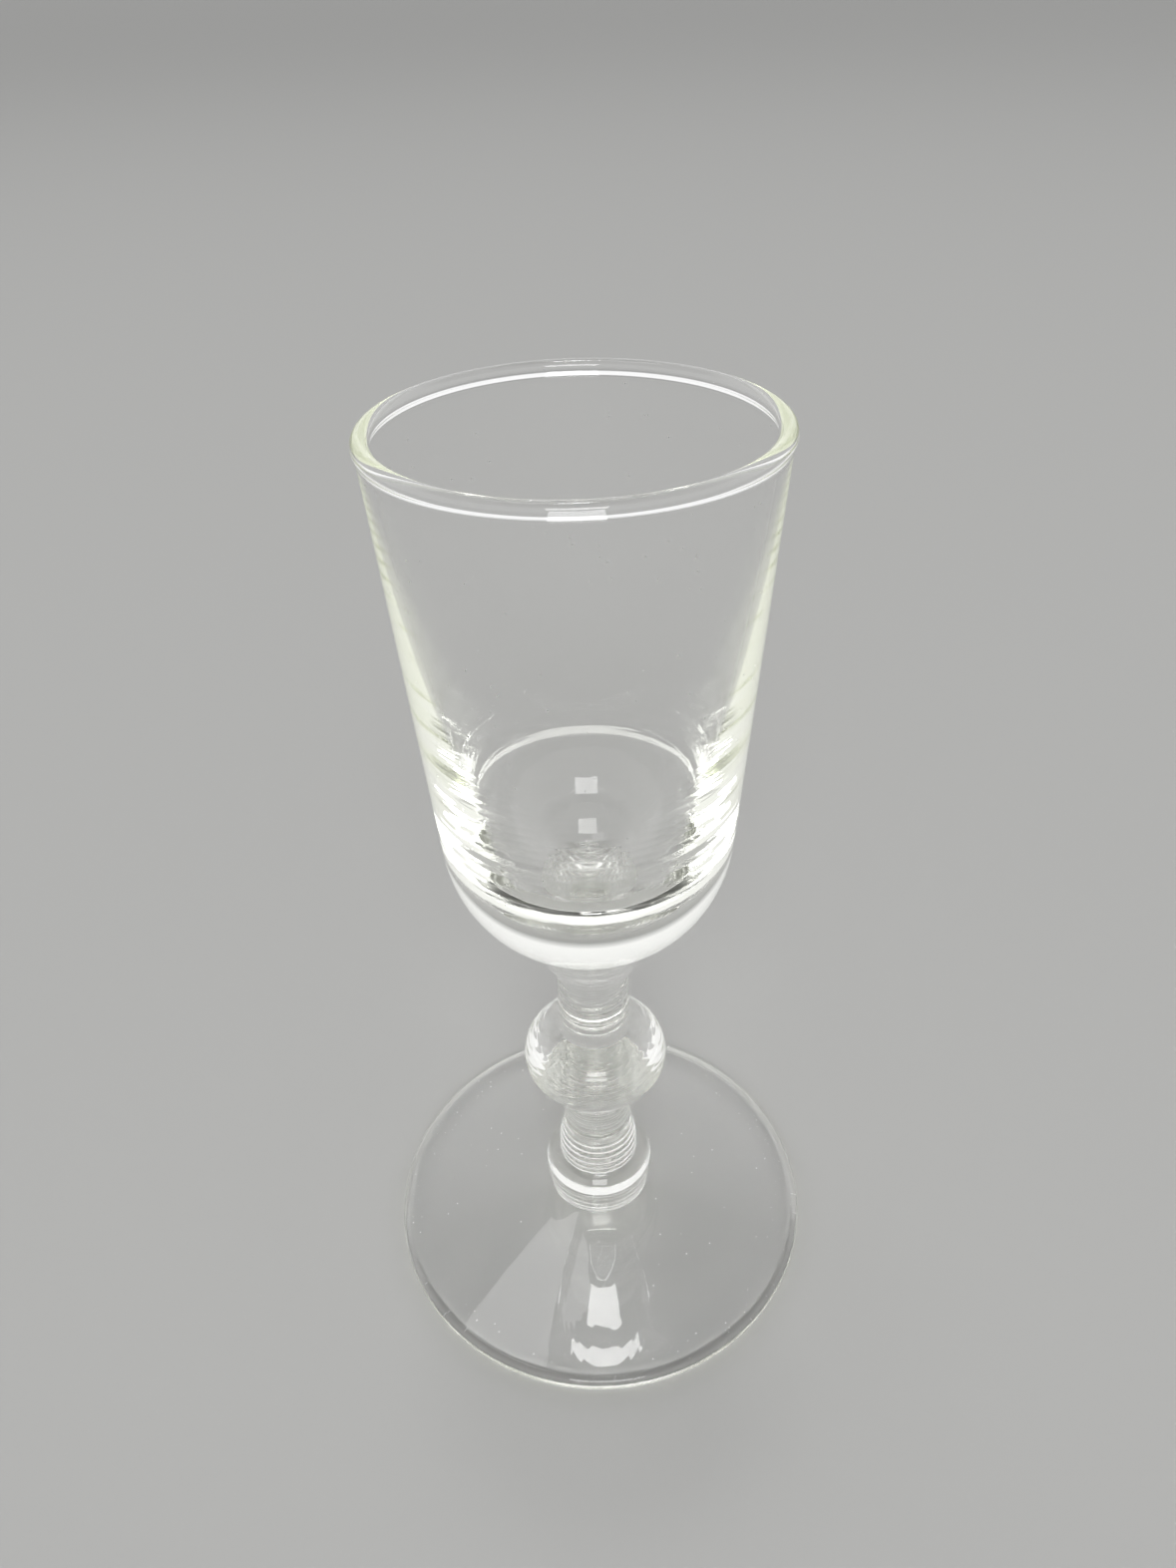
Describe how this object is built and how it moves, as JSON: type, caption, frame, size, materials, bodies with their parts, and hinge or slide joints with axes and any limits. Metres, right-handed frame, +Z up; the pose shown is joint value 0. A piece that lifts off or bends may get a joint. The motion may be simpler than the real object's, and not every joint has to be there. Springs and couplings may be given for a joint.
{
  "type": "cordial glass",
  "caption": "Small clear stemmed cordial glass: tapered thick-bottomed bowl with a beaded rim, knopped stem, round collar and low conical foot.",
  "frame": {"origin": "centre of the foot's bearing ring, on the plane the glass stands on", "axes": "+Z up along the glass's axis; X and Y are free, because the glass is turned about Z"},
  "size_m": [0.0526, 0.0526, 0.105],
  "materials": {
    "clear_glass": "fire-polished clear soda-lime glass, colourless with a faint yellow-green cast in its thick edges"
  },
  "bodies": {
    "root": {"bowl": "clear_glass", "upper_stem": "clear_glass", "knop": "clear_glass", "lower_stem": "clear_glass", "collar": "clear_glass", "foot": "clear_glass"}
  },
  "joints": []
}
